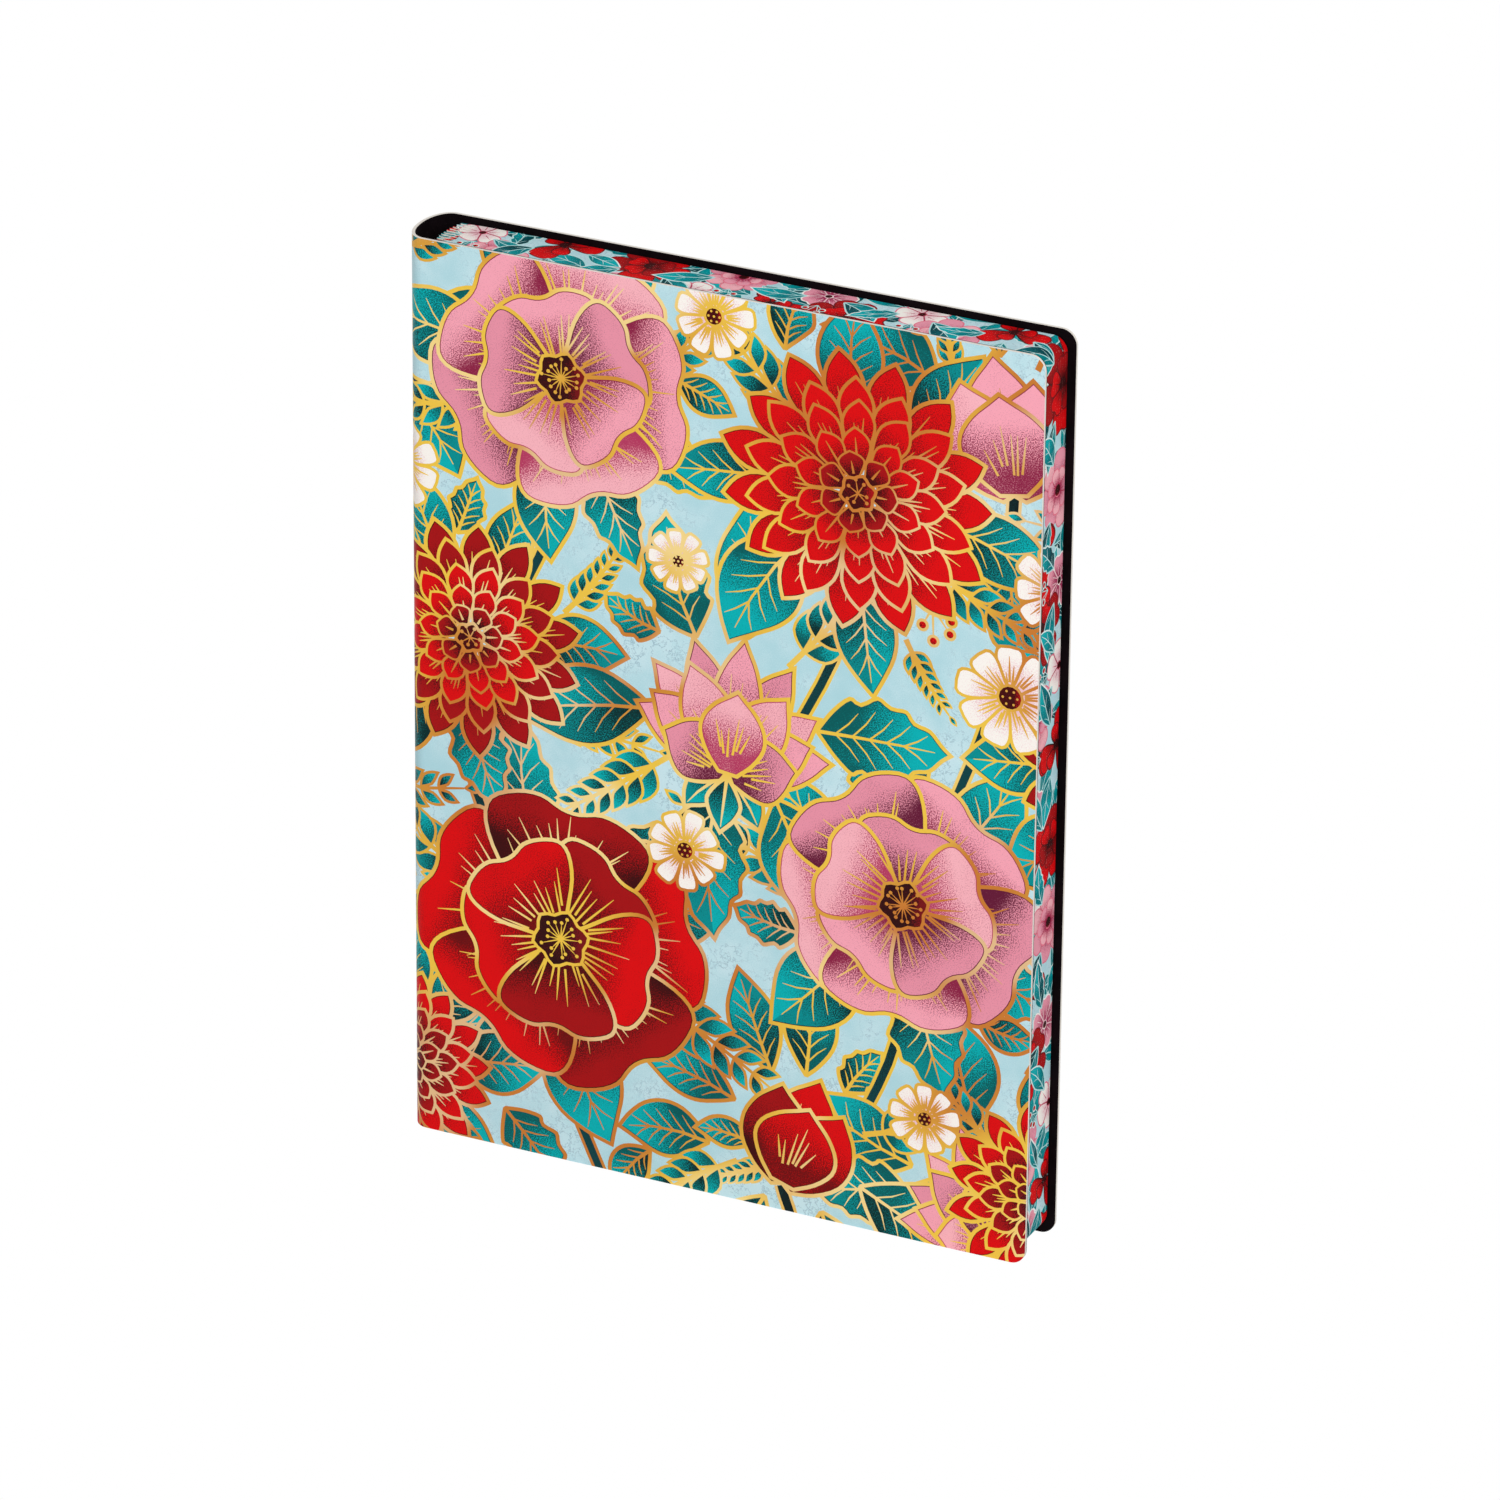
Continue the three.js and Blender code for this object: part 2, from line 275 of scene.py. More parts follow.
def lotus(sheet, base, radius, heading, inks):
    """A cup of pointed petals seen from the side, on green sepals."""
    for side in (-1, 1, 0):
        axis = Axis(base, heading + math.pi + side * 0.95, radius * 0.42, radius * 0.13, -side * 0.5)
        leaf(sheet, axis, LANCE_LEAF, (TEAL, PINE), 0)
    rows = (((-3, 3, -2, 2, -1, 1, 0), 0.4, 1.0, 0.18, 0), ((-2, 2, -1, 1), 0.52, 0.82, 0.2, 1),
            ((-2, 2, 0), 0.68, 0.58, 0.23, 2))
    for places, step, reach, width, tone in rows:
        for k in places:
            length = radius * reach * (1 - 0.07 * abs(k)) * sheet.draw.uniform(0.96, 1.04)
            axis = Axis(base, heading + k * step * 0.8, length, radius * width, k * 0.13)
            ink = inks[(tone + abs(k)) % len(inks)]
            petal(sheet, LOTUS_PETAL, axis, ink, True, strokes=6, spread=0.6)


def tulip(sheet, base, radius, heading, inks):
    """A closed cup of broad petals."""
    petals = ((0, 1, 0.3, 0), (-1, 0.86, 0.3, 0), (1, 0.86, 0.3, 1), (0, 0.72, 0.34, 0))
    for k, reach, width, tone in petals:
        axis = Axis(base, heading + k * 0.52, radius * reach, radius * width, -k * 0.42)
        petal(sheet, LOTUS_PETAL, axis, inks[tone], True, strokes=6, spread=0.55)


def daisy(sheet, centre, radius, turn):
    """Narrow round-tipped petals round a gold button."""
    count = 9
    for k in range(count):
        heading = turn + math.tau * (2 * k % count) / count
        axis = Axis(centre, heading, radius * sheet.draw.uniform(0.93, 1.05), radius * 0.27)
        petal(sheet, SPOON_PETAL, axis, CREAM, False, 2, 0.8, 3, 0.4)
    button = radius * 0.25
    axis = Axis(centre, 0, button, button)
    sheet.outlined(circle(centre, button, 14), CRIMSON, axis, 0.7)
    for k in range(7):
        spot = centre + direction(math.tau * k / 6) * (radius * 0.13 if k else 0)
        sheet.lay(circle(spot, sheet.line * 0.34, 6), sheet.line_ink, axis)


def leaf(sheet, axis, side, inks, veins=5):
    """A leaf, darker on one side of its rib, with side veins."""
    outline = axis.blade(side, 3 if axis.length > 14 else 2, True)
    sheet.outlined(outline, inks[0], axis)
    inner = inset(outline, sheet.line)
    middle = len(inner) // 2
    rib = axis.place([(t, 0) for t in (0.8, 0.6, 0.4, 0.2, 0.05)])
    sheet.lay(np.vstack((inner[:middle + 1], rib)), inks[1], axis)
    spine = axis.place([(t, 0) for t in (0, 0.3, 0.6, 0.86)])
    sheet.lay(ribbon(spine, sheet.line * np.array((1, 0.8, 0.6, 0.2))), sheet.line_ink, axis)
    widths = np.array(side)
    for k in range(veins):
        start = 0.14 + 0.62 * k / veins
        end = start + 0.17
        for hand in (-1, 1):
            across = hand * 0.66 * np.interp(end, widths[:, 0], widths[:, 1])
            points = axis.place(((start, 0), (start + 0.1, across * 0.5), (end, across)))
            sheet.lay(ribbon(points, sheet.line * np.array((0.45, 0.4, 0.15))), sheet.line_ink, axis)


def fern(sheet, axis):
    """A sprig of small leaves in pairs."""
    pairs = 6
    stem = axis.place([(t, 0) for t in (0, 0.25, 0.5, 0.75, 1)])
    sheet.lay(ribbon(stem, sheet.line * np.array((1.5, 1.3, 1.1, 0.9, 0.5))), sheet.line_ink, axis)
    for k in range(pairs):
        share = 0.16 + 0.78 * k / pairs
        base = axis.place(((share, 0),))[0]
        for hand in (-1, 1):
            heading = axis.heading + axis.curl * share + hand * 0.85
            length = axis.length * (0.34 - 0.2 * share)
            small = Axis(base, heading, length, length * 0.24, -hand * 0.5)
            sheet.outlined(small.blade(LANCE_LEAF, 2, True), (TEAL, PINE)[k % 2], small, 0.7)
    tip = Axis(stem[-1], axis.heading + axis.curl, axis.length * 0.16, axis.length * 0.04)
    sheet.outlined(tip.blade(LANCE_LEAF, 2, True), TEAL, tip, 0.7)


def berries(sheet, base, heading, size):
    """A bunch of round berries on thin stalks."""
    for turn, reach in ((-0.75, 3.4), (0.75, 3.4), (-0.25, 5.2), (0.35, 4.6)):
        spot = base + direction(heading + turn) * size * reach
        sheet.stroke(between(base, spot, sheet.line * 0.35))
        axis = Axis(spot - (size, size), math.pi / 4, size * 2.6, size)
        sheet.outlined(circle(spot, size, 14), SCARLET, axis, 0.8)


def stem(sheet, points, width):
    line = curve(points, 5)
    axis = between(line[0], line[-1], 1)
    widths = np.linspace(width, width * 0.8, len(line))
    sheet.lay(ribbon(line, widths + 1.6 * sheet.line), sheet.line_ink, axis)
    sheet.lay(ribbon(line, widths), NIGHT, axis)


# Pattern of the cover, which repeats along the sheet

COVER_LINE = 0.92
COVER_RIM = 0.2  # a darker seam inside each outline
LEAF_INKS = ((TEAL, PINE), (PINE, TEAL), (TEAL, TEAL))
BARE = 4.4  # no bare spot of the ground is further than this from an outline
FEWEST = 12  # an outline with fewer corners than this hides nothing
FERNS, BERRIES = 0.22, 0.1  # shares of what fills the ground, and the rest is leaves
# Each bloom: kind, its place as distance from the spine's middle line and height, radius, turn, the foot
# of its stem, inks
COVER_BLOOMS = (
    (lotus, (150, 2), 31, 1.9, (146, -30), (PINK, BLUSH, PLUM)),
    (tulip, (98, 6), 30, 1.25, (92, -20), (SCARLET, CRIMSON)),
    (tulip, (150, 180), 33, 1.75, (132, 92), (PINK, BLUSH)),
    (rose, (44, 54), 34, 0.3, (58, -10), (SCARLET, CRIMSON, SCARLET)),
    (dahlia, (4, 16), 24, 0.1, (10, -20), (SCARLET, CRIMSON, MAROON)),
    (rose, (126, 80), 30, 0.9, (112, 16), (PINK, PLUM, BLUSH)),
    (dahlia, (22, 122), 28, 0.2, (34, 60), (CRIMSON, SCARLET, CRIMSON)),
    (lotus, (84, 102), 35, 1.45, (64, 60), (PINK, PLUM, BLUSH)),
    (rose, (44, 187), 30, 1.2, (30, 126), (BLUSH, PINK, PLUM)),
    (dahlia, (114, 174), 33, 0, (96, 108), (SCARLET, SCARLET, CRIMSON)),
)
# Each daisy: place, radius, turn
COVER_DAISIES = (((150, 134), 13, 0.2), ((74, 82), 10, 0.6), ((4, 160), 11, 0.4), ((80, 208), 10, 0.1),
                 ((132, 30), 9, 0.9), ((72, 150), 8, 0.3))
LOOK = 16  # spots are measured up to this far outside an outline's box


def reach_of(areas, spots, period):
    """How far each spot lies from the nearest outline of the areas and of their repeats."""
    gap = np.full(len(spots), 1e9)
    for outline, ink, _ in areas:
        if ink[2] != FOIL and ink != NIGHT or len(outline) < FEWEST:
            continue
        for shift in (-period, 0, period):
            moved = outline + (shift, 0)
            near = (np.abs(spots - moved.mean(0)) < np.ptp(moved, 0) / 2 + LOOK).all(1)
            if near.any():
                step = spots[near, None] - moved[None, ::2]
                gap[near] = np.minimum(gap[near], np.sqrt((step ** 2).sum(2).min(1)))
                gap[near] = np.where(covers(moved, spots[near]), 0, gap[near])
    return gap


def fill_ground(sheet, blooms, period, height, least):
    """Lays a leaf or sprig in the widest bare spot, as if it grew from the bloom nearest to it, again and
    again, until every bare spot is narrower than least."""
    step = least / 2
    across, up = np.meshgrid(np.arange(0, period, step), np.arange(0, height + step, step))
    spots = np.stack((across.ravel(), up.ravel()), 1)
    gap = reach_of(sheet.areas, spots, period)
    draw = sheet.draw
    while gap.max() > least:
        widest = int(gap.argmax())
        away = spots[widest] - blooms
        away[:, 0] = (away[:, 0] + period / 2) % period - period / 2
        run = away[np.linalg.norm(away, axis=1).argmin()]
        heading = math.atan2(run[1], run[0]) + draw.uniform(-0.5, 0.5)
        length = min(max(gap[widest] * draw.uniform(2.3, 2.9), 3.6 * least), 8 * least)
        base = spots[widest] - direction(heading) * length * 0.55
        fresh = len(sheet.areas)
        curl = draw.uniform(-0.7, 0.7)
        kind = draw.random()
        if kind < FERNS:
            fern(sheet, Axis(base, heading, length * 1.1, 1, curl))
        elif kind < FERNS + BERRIES:
            berries(sheet, base, heading, min(length * 0.095, 1.9))
        else:
            side = draw.choice(LEAVES)
            axis = Axis(base, heading, length, length * draw.uniform(0.24, 0.34), curl)
            leaf(sheet, axis, side, draw.choice(LEAF_INKS))
        gap = np.minimum(gap, reach_of(sheet.areas[fresh:], spots, period))
        gap[widest] = 0


def cover_pattern(period, height):
    """The areas of one repeat, from the ground up."""
    sheet = Sheet(COVER_LINE, GOLD, 11, COVER_RIM)
    draw = sheet.draw
    centres = []
    for kind, place, radius, turn, foot, _ in COVER_BLOOMS:
        centre = np.array(place, float)
        if kind in (lotus, tulip):
            centre += direction(turn) * radius * 0.4
        centres.append(centre)
        middle = np.add(place, foot) / 2 + (draw.choice((-6, 6)), 0)
        stem(sheet, (place, middle, foot), 2.2)
    blooms = Sheet(COVER_LINE, GOLD, 5, COVER_RIM)
    for kind, place, radius, turn, _, inks in COVER_BLOOMS:
        kind(blooms, place, radius, turn, inks)
    for flower in COVER_DAISIES:
        daisy(blooms, *flower)
    for centre, (_, _, radius, turn, _, _) in zip(centres, COVER_BLOOMS):
        for k in range(8):
            heading = turn + math.tau * (k + draw.uniform(-0.28, 0.28)) / 8
            length = radius * draw.uniform(0.8, 1.05)
            base = centre + direction(heading) * radius * 0.55
            axis = Axis(base, heading, length, length * draw.uniform(0.25, 0.34), draw.uniform(-0.6, 0.6))
            if k % 4 == 3:
                fern(sheet, Axis(base, heading, length * 1.2, 1, axis.curl))
            else:
                leaf(sheet, axis, draw.choice((OVAL_LEAF, LOBED_LEAF, OVAL_LEAF)), draw.choice(LEAF_INKS))
    leaves = sheet.areas
    sheet.areas = leaves + blooms.areas
    fresh = len(sheet.areas)
    fill_ground(sheet, np.array(centres), period, height, BARE)
    return sheet.areas[fresh:] + leaves + blooms.areas


# Mesh of a printed sheet: triangles cut along every outline that shows

PAPER_AREA = -1
MERGE = 0.0002  # corners nearer than this are one, in millimetres
TILE = (26, 36)  # a printed sheet is cut tile by tile, of about this size


def open_segments(areas):
    """The outline segments that no later area hides, one row each: start and end."""
    starts = np.vstack([area[0] for area in areas])
    ends = np.vstack([np.roll(area[0], -1, 0) for area in areas])
    first = np.cumsum([0] + [len(area[0]) for area in areas])
    low, high = np.minimum(starts, ends), np.maximum(starts, ends)
    hidden = np.zeros(len(starts), bool)
    for index, (outline, _, _) in enumerate(areas):
        if len(outline) < FEWEST:
            continue
        under = slice(0, first[index])
        inside = (low[under] > outline.min(0)).all(1) & (high[under] < outline.max(0)).all(1)
        near = np.flatnonzero(inside & ~hidden[under])
        for points in (starts, ends, (starts + ends) / 2):
            near = near[covers(outline, points[near])]
        hidden[near] = True
    return np.hstack((starts, ends))[~hidden]


def tile_lines(segments, low, high):
    """Corner points and edges of a tile: its own sides and the parts of segments inside it."""
    start, run = segments[:, :2], segments[:, 2:] - segments[:, :2]
    run = np.where(run == 0, 1e-12, run)
    to_low, to_high = (low - start) / run, (high - start) / run
    enter = np.maximum(np.minimum(to_low, to_high).max(1), 0)[:, None]
    leave = np.minimum(np.maximum(to_low, to_high).min(1), 1)[:, None]
    kept = (enter < leave)[:, 0]
    ends = np.vstack(((start + run * enter)[kept], (start + run * leave)[kept]))
    for side in (low, high):
        ends = np.where(np.abs(ends - side) < 1e-7, side, ends)
    count = int(kept.sum())
    points = [ends]
    edges = [(k, k + count) for k in range(count)]
    total = 2 * count
    for axis in (0, 1):
        for side in (low, high):
            on_side = ends[ends[:, axis] == side[axis], 1 - axis]
            places = np.unique(np.append(on_side, (low[1 - axis], high[1 - axis])))
            chain = np.empty((len(places), 2))
            chain[:, axis], chain[:, 1 - axis] = side[axis], places
            points.append(chain)
            edges += [(total + k, total + k + 1) for k in range(len(places) - 1)]
            total += len(places)
    return np.vstack(points), edges


def cut_sheet(rim, areas, bends, step):
    """Corner points, triangles, and each triangle's area, of what lies inside a rim."""
    low, high = rim.min(0), rim.max(0)
    areas = [area for area in areas if (area[0].max(0) > low).all() and (area[0].min(0) < high).all()]
    rim_lines = np.hstack((rim, np.roll(rim, -1, 0)))
    bend_lines = np.array([(place, low[1] - 1, place, high[1] + 1) for place in bends])
    segments = np.vstack((open_segments(areas), rim_lines, bend_lines))
    lowest = np.array([area[0].min(0) for area in areas])
    highest = np.array([area[0].max(0) for area in areas])
    counts = np.maximum(np.ceil((high - low) / step), 1).astype(int)
    columns = np.linspace(low[0], high[0], counts[0] + 1)
    rows = np.linspace(low[1], high[1], counts[1] + 1)
    corners, triangles, owners, total = [], [], [], 0
    for sides in product(zip(columns, columns[1:]), zip(rows, rows[1:])):
        tile_low, tile_high = np.array(sides).T
        points, edges = tile_lines(segments, tile_low, tile_high)
        cut = delaunay_2d_cdt([Vector(point) for point in points], edges, [], 0, 1e-5, False)
        points = np.array([tuple(point) for point in cut[0]])
        faces = np.array(cut[2])
        middles = points[faces].mean(1)
        inside = covers(rim, middles)
        faces, middles = faces[inside], middles[inside]
        owner = np.full(len(faces), PAPER_AREA)
        for index in np.flatnonzero(((highest > tile_low) & (lowest < tile_high)).all(1)):
            near = np.flatnonzero(((middles > lowest[index]) & (middles < highest[index])).all(1))
            owner[near[covers(areas[index][0], middles[near])]] = index
        corners.append(points)
        triangles.append(faces + total)
        owners.append(owner)
        total += len(points)
    return np.vstack(corners), np.vstack(triangles), np.concatenate(owners), areas


def read(items, name, kind, width=1):
    """One number or vector of each item."""
    values = np.empty(len(items) * width, kind)
    items.foreach_get(name, values)
    return values.reshape(-1, width) if width > 1 else values


def paint(mesh, areas):
    """Gives each face its two tones, and each of its corners a place along and across its area."""
    owner = read(mesh.attributes["area"].data, "value", np.int32)
    bare = read(mesh.polygons, "normal", np.float32, 3)[:, 2] < 0.5
    inks = [area[1] for area in areas] + [SKY, PAPER]
    owner = np.where(bare, len(areas) + 1, np.where(owner < 0, len(areas), owner))
    for name, tone in (("deep", 0), ("light", 1)):
        colours = np.array([linear(ink[tone]) for ink in inks], np.float32)
        layer = mesh.attributes.new(name, "FLOAT_COLOR", "FACE")
        layer.data.foreach_set("color", colours[owner].ravel())
    starts = read(mesh.polygons, "loop_start", np.int32)
    owner = np.repeat(owner, np.diff(np.append(starts, len(mesh.loops))))
    spots = read(mesh.vertices, "co", np.float32, 3)[read(mesh.loops, "vertex_index", np.int32), :2]
    axes = [area[2] for area in areas] + [Axis((0, 0), 0, 100, 100)] * 2
    facts = np.array([(*axis.base, axis.heading + axis.curl / 2, axis.length, axis.half_width, ink[2])
                      for axis, ink in zip(axes, inks)])[owner]
    x, y, heading, length, half_width, kind = facts.T
    step, run = spots - np.stack((x, y), 1), np.stack((np.cos(heading), np.sin(heading)), 1)
    along = (step * run).sum(1) / length
    across = (step[:, 1] * run[:, 0] - step[:, 0] * run[:, 1]) / half_width
    layer = mesh.attributes.new("place", "FLOAT_VECTOR", "CORNER")
    layer.data.foreach_set("vector", np.stack((along, across, kind), 1).astype(np.float32).ravel())
    mesh.attributes.remove(mesh.attributes["area"])


def cut_across(bm, face, places):
    """Cuts a flat face across at each place, so that it can bend there."""
    geometry = [face, *face.edges, *face.verts]
    for place in places:
        geometry = bmesh.ops.bisect_plane(bm, geom=geometry, dist=1e-4, plane_co=(place, 0, 0),
                                          plane_no=(1, 0, 0))["geom"]


def clear_rim(bm):
    """Deletes the slivers that pinch the rim of a sheet, so that it is one plain loop."""
    while True:
        pinched = [v for v in bm.verts if sum(len(edge.link_faces) == 1 for edge in v.link_edges) > 2]
        if not pinched:
            return
        slivers = {min(v.link_faces, key=lambda face: face.calc_area()) for v in pinched}
        bmesh.ops.delete(bm, geom=list(slivers), context="FACES")


SMOOTH_BELOW = math.radians(35)  # faces that meet at less than this are shaded as one


def new_object(name, data):
    made = bpy.data.objects.new(name, data)
    bpy.context.scene.collection.objects.link(made)
    return made


def slab(name, rim, depth, thickness, bends, place, finish, areas=(), step=TILE):
    """A flat layer with a rim outline, printed on its outer face, and then bent into place."""
    mesh = bpy.data.meshes.new(name)
    bm = bmesh.new()
    if areas:
        corners, triangles, owners, areas = cut_sheet(rim, areas, bends, np.array(step))
        mesh.from_pydata(np.column_stack((corners, np.full(len(corners), -depth))).tolist(), [],
                         triangles.tolist())
        mesh.attributes.new("area", "INT", "FACE").data.foreach_set("value", owners.astype(np.int32))
        bm.from_mesh(mesh)
        bmesh.ops.remove_doubles(bm, verts=bm.verts[:], dist=MERGE)
        clear_rim(bm)
    else:
        top = bm.faces.new([bm.verts.new((x, y, -depth)) for x, y in rim])
        cut_across(bm, top, bends)
    rim_edges = [edge for edge in bm.edges if len(edge.link_faces) == 1]
    walls = bmesh.ops.extrude_edge_only(bm, edges=rim_edges)["geom"]
    lower = [item for item in walls if isinstance(item, bmesh.types.BMVert)]
    bmesh.ops.translate(bm, verts=lower, vec=(0, 0, -thickness))
    loop = [item for item in walls if isinstance(item, bmesh.types.BMEdge)]
    under = bmesh.ops.edgeloop_fill(bm, edges=loop)["faces"]
    cut_across(bm, under[0], bends)
    bmesh.ops.recalc_face_normals(bm, faces=bm.faces[:])
    bm.to_mesh(mesh)
    bm.free()
    if areas:
        paint(mesh, areas)
    spots = read(mesh.vertices, "co", float, 3)
    mesh.vertices.foreach_set("co", (place(*spots.T) * MM).astype(np.float32).ravel())
    mesh.update()
    mesh.shade_smooth()
    mesh.set_sharp_from_angle(angle=SMOOTH_BELOW)
    mesh.materials.append(finish)
    return new_object(name, mesh)


# Materials

class Nodes:
    """Adds nodes to a tree. Inputs are given by name or number, as values or as other sockets."""

    def __init__(self, tree):
        self.tree = tree

    def fill(self, inputs, given):
        for name, value in dict(given).items():
            if isinstance(value, bpy.types.NodeSocket):
                self.tree.links.new(value, inputs[name])
            else:
                inputs[name].default_value = value

    def add(self, kind, given=(), **settings):
        node = self.tree.nodes.new("ShaderNode" + kind)
        for name, value in settings.items():
            setattr(node, name, value)
        self.fill(node.inputs, given)
        return node

    def math(self, operation, first, second=0.0, clamp=False):
        return self.add("Math", {0: first, 1: second}, operation=operation, use_clamp=clamp).outputs[0]

    def plus(self, first, second):
        return self.math("ADD", first, second)

    def minus(self, first, second):
        return self.math("SUBTRACT", first, second)

    def times(self, first, second):
        return self.math("MULTIPLY", first, second)

    def wave(self, value):
        return self.math("ABSOLUTE", self.math("SINE", value))

    def mix(self, share, first, second, blend="MIX"):
        node = self.add("Mix", {0: share, 6: first, 7: second}, data_type="RGBA", blend_type=blend)
        return node.outputs[2]

    def span(self, value, low, high, to_low=0.0, to_high=1.0):
        names = {"Value": value, "From Min": low, "From Max": high, "To Min": to_low, "To Max": to_high}
        return self.add("MapRange", names, interpolation_type="SMOOTHSTEP").outputs[0]

    def noise(self, vector, scale, detail, roughness):
        names = {"Vector": vector, "Scale": scale, "Detail": detail, "Roughness": roughness}
        return self.add("TexNoise", names).outputs[0]

    def bump(self, height, distance, strength):
        names = {"Height": height, "Distance": distance, "Strength": strength}
        return self.add("Bump", names).outputs[0]


def ink_group():
    """Two tones of ink that meet in grains, a mottled ground, and gold foil with a painted reflection: its
    hue drifts between copper and yellow, with painted pale glints.
    """
    tree = bpy.data.node_groups.new("ink", "ShaderNodeTree")
    sockets = {"INPUT": {"Deep": "Color", "Light": "Color", "Place": "Vector", "Position": "Vector",
                         "Grain": "Float", "Stipple": "Float", "Drift": "Float", "Mottle": "Float"},
               "OUTPUT": {"Color": "Color", "Foil": "Float", "Speckle": "Float"}}
    for way, kinds in sockets.items():
        for socket, kind in kinds.items():
            tree.interface.new_socket(name=socket, in_out=way, socket_type="NodeSocket" + kind)
    nodes = Nodes(tree)
    given = tree.nodes.new("NodeGroupInput").outputs
    result = tree.nodes.new("NodeGroupOutput").inputs
    tones, position = (given["Deep"], given["Light"]), given["Position"]
    along, across, kind = nodes.add("SeparateXYZ", {0: given["Place"]}).outputs
    speckle = nodes.noise(position, given["Grain"], 1.0, 0.5)
    cloud = nodes.noise(position, given["Mottle"], 3.0, 0.6)
    rise = nodes.span(along, 0.2, 0.8)
    edge = nodes.span(nodes.math("ABSOLUTE", across), 0.55, 1.05, 0.0, 0.3)
    tone = nodes.plus(rise, nodes.times(nodes.minus(cloud, 0.5), 0.7))
    tone = nodes.minus(tone, nodes.times(edge, nodes.minus(1.0, rise)))
    centred = nodes.minus(speckle, 0.5)
    grains = nodes.times(centred, given["Stipple"])
    middle = nodes.times(nodes.times(tone, nodes.minus(1.0, tone)), 4.0)
    middle = nodes.plus(nodes.math("MAXIMUM", middle, 0.0), 0.36)
    tone = nodes.math("ADD", tone, nodes.times(grains, middle), clamp=True)
    ink = nodes.mix(tone, *tones)
    scratch = nodes.noise(position, nodes.times(given["Mottle"], 5.0), 6.0, 0.65)
    crack = nodes.span(nodes.math("ABSOLUTE", nodes.minus(scratch, 0.5)), 0.004, 0.02, 1.0, 0.0)
    crack = nodes.times(crack, nodes.span(cloud, 0.44, 0.6, 0.0, 0.62))
    veil = nodes.plus(cloud, nodes.times(centred, 0.4))
    sky = nodes.mix(nodes.span(veil, 0.3, 0.7), *tones)
    sky = nodes.mix(crack, sky, linear(CRACK))
    # Painted reflection on the foil: its colour drifts between copper and yellow over broad patches
    painted_reflection = nodes.span(nodes.noise(position, given["Drift"], 1.0, 0.4), 0.4, 0.6)
    # Painted glint: pale patches where the foil is painted as if it caught the light
    painted_glint = nodes.noise(position, nodes.times(given["Drift"], 1.7), 1.0, 0.4)
    foil = nodes.mix(painted_reflection, *tones)
    foil = nodes.mix(nodes.span(painted_glint, 0.52, 0.66, 0.0, 0.5), foil, FOIL_PAINTED_GLINT)
    is_ink, is_foil = (nodes.math("GREATER_THAN", kind, step) for step in (0.5, 1.5))
    colour = nodes.mix(is_foil, nodes.mix(is_ink, sky, ink), foil)
    nodes.fill(result, {"Color": colour, "Foil": is_foil, "Speckle": speckle})
    return tree


def material(name):
    """A new material, its nodes, its shader and its object coordinates."""
    made = bpy.data.materials.new(name)
    made.use_nodes = True
    nodes = Nodes(made.node_tree)
    shader = made.node_tree.nodes["Principled BSDF"]
    return made, nodes, shader, nodes.add("TexCoord").outputs["Object"]


def printed(name, ink, grain, stipple, painted_reflection, mottle, metal, roughness, gloss):
    """Ink and foil under a thin matt film."""
    made, nodes, shader, position = material(name)
    values = {tone: nodes.add("Attribute", attribute_name=tone.lower()).outputs["Color"]
              for tone in ("Deep", "Light")}
    values["Place"] = nodes.add("Attribute", attribute_name="place").outputs["Vector"]
    values.update(Position=position, Grain=grain, Stipple=stipple, Drift=painted_reflection, Mottle=mottle)
    parts = nodes.add("Group", values, node_tree=ink).outputs
    smear = nodes.noise(position, 90.0, 3.0, 0.6)
    film = nodes.plus(nodes.times(parts["Speckle"], 0.3), smear)
    nodes.fill(shader.inputs, {
        "Base Color": parts["Color"],
        "Metallic": nodes.times(parts["Foil"], metal),
        "Roughness": nodes.span(smear, 0.3, 0.7, roughness - 0.05, roughness + 0.05),
        "Specular IOR Level": gloss,
        "Normal": nodes.bump(film, 4e-5, 0.5)})
    return made


def fibrous(name, deep, light, scale, roughness, depth, gloss=0.2):
    """Uncoated paper or card: felted fibres, a little cloudy."""
    made, nodes, shader, position = material(name)
    cloud = nodes.noise(position, scale * 0.06, 3.0, 0.55)
    fibre = nodes.noise(position, scale, 4.0, 0.7)
    share = nodes.plus(nodes.times(cloud, 0.5), nodes.times(fibre, 0.5))
    plain = nodes.mix(nodes.span(share, 0.35, 0.65), linear(deep), linear(light))
    nodes.fill(shader.inputs, {
        "Base Color": plain,
        "Roughness": nodes.span(fibre, 0.3, 0.7, roughness - 0.06, roughness + 0.06),
        "Specular IOR Level": gloss,
        "Normal": nodes.bump(fibre, depth, 0.6)})
    return made, nodes, shader, position, plain


RULE_PITCH = 7.0  # ruled lines on the leaves, in millimetres
RULE_WIDTH = 0.22
RULE_FOOT = 14.0
RULE_HEAD = 196.0
RULE = "8fa9bd"


def ruled_paper():
    """Writing paper with faint printed lines."""
    made, nodes, shader, position, plain = fibrous("writing_paper", "f1ecdf", "f9f6ee", scale=5000.0,
                                                   roughness=0.8, depth=3e-5)
    up = nodes.add("SeparateXYZ", {0: position}).outputs[2]
    row = nodes.math("FRACT", nodes.math("DIVIDE", nodes.minus(up, RULE_FOOT * MM), RULE_PITCH * MM))
    line = nodes.math("LESS_THAN", row, RULE_WIDTH / RULE_PITCH)
    inside = nodes.times(nodes.math("GREATER_THAN", up, RULE_FOOT * MM),
                         nodes.math("LESS_THAN", up, RULE_HEAD * MM))
    line = nodes.times(nodes.times(line, inside), 0.55)
    nodes.fill(shader.inputs, {"Base Color": nodes.mix(line, plain, linear(RULE))})
    return made


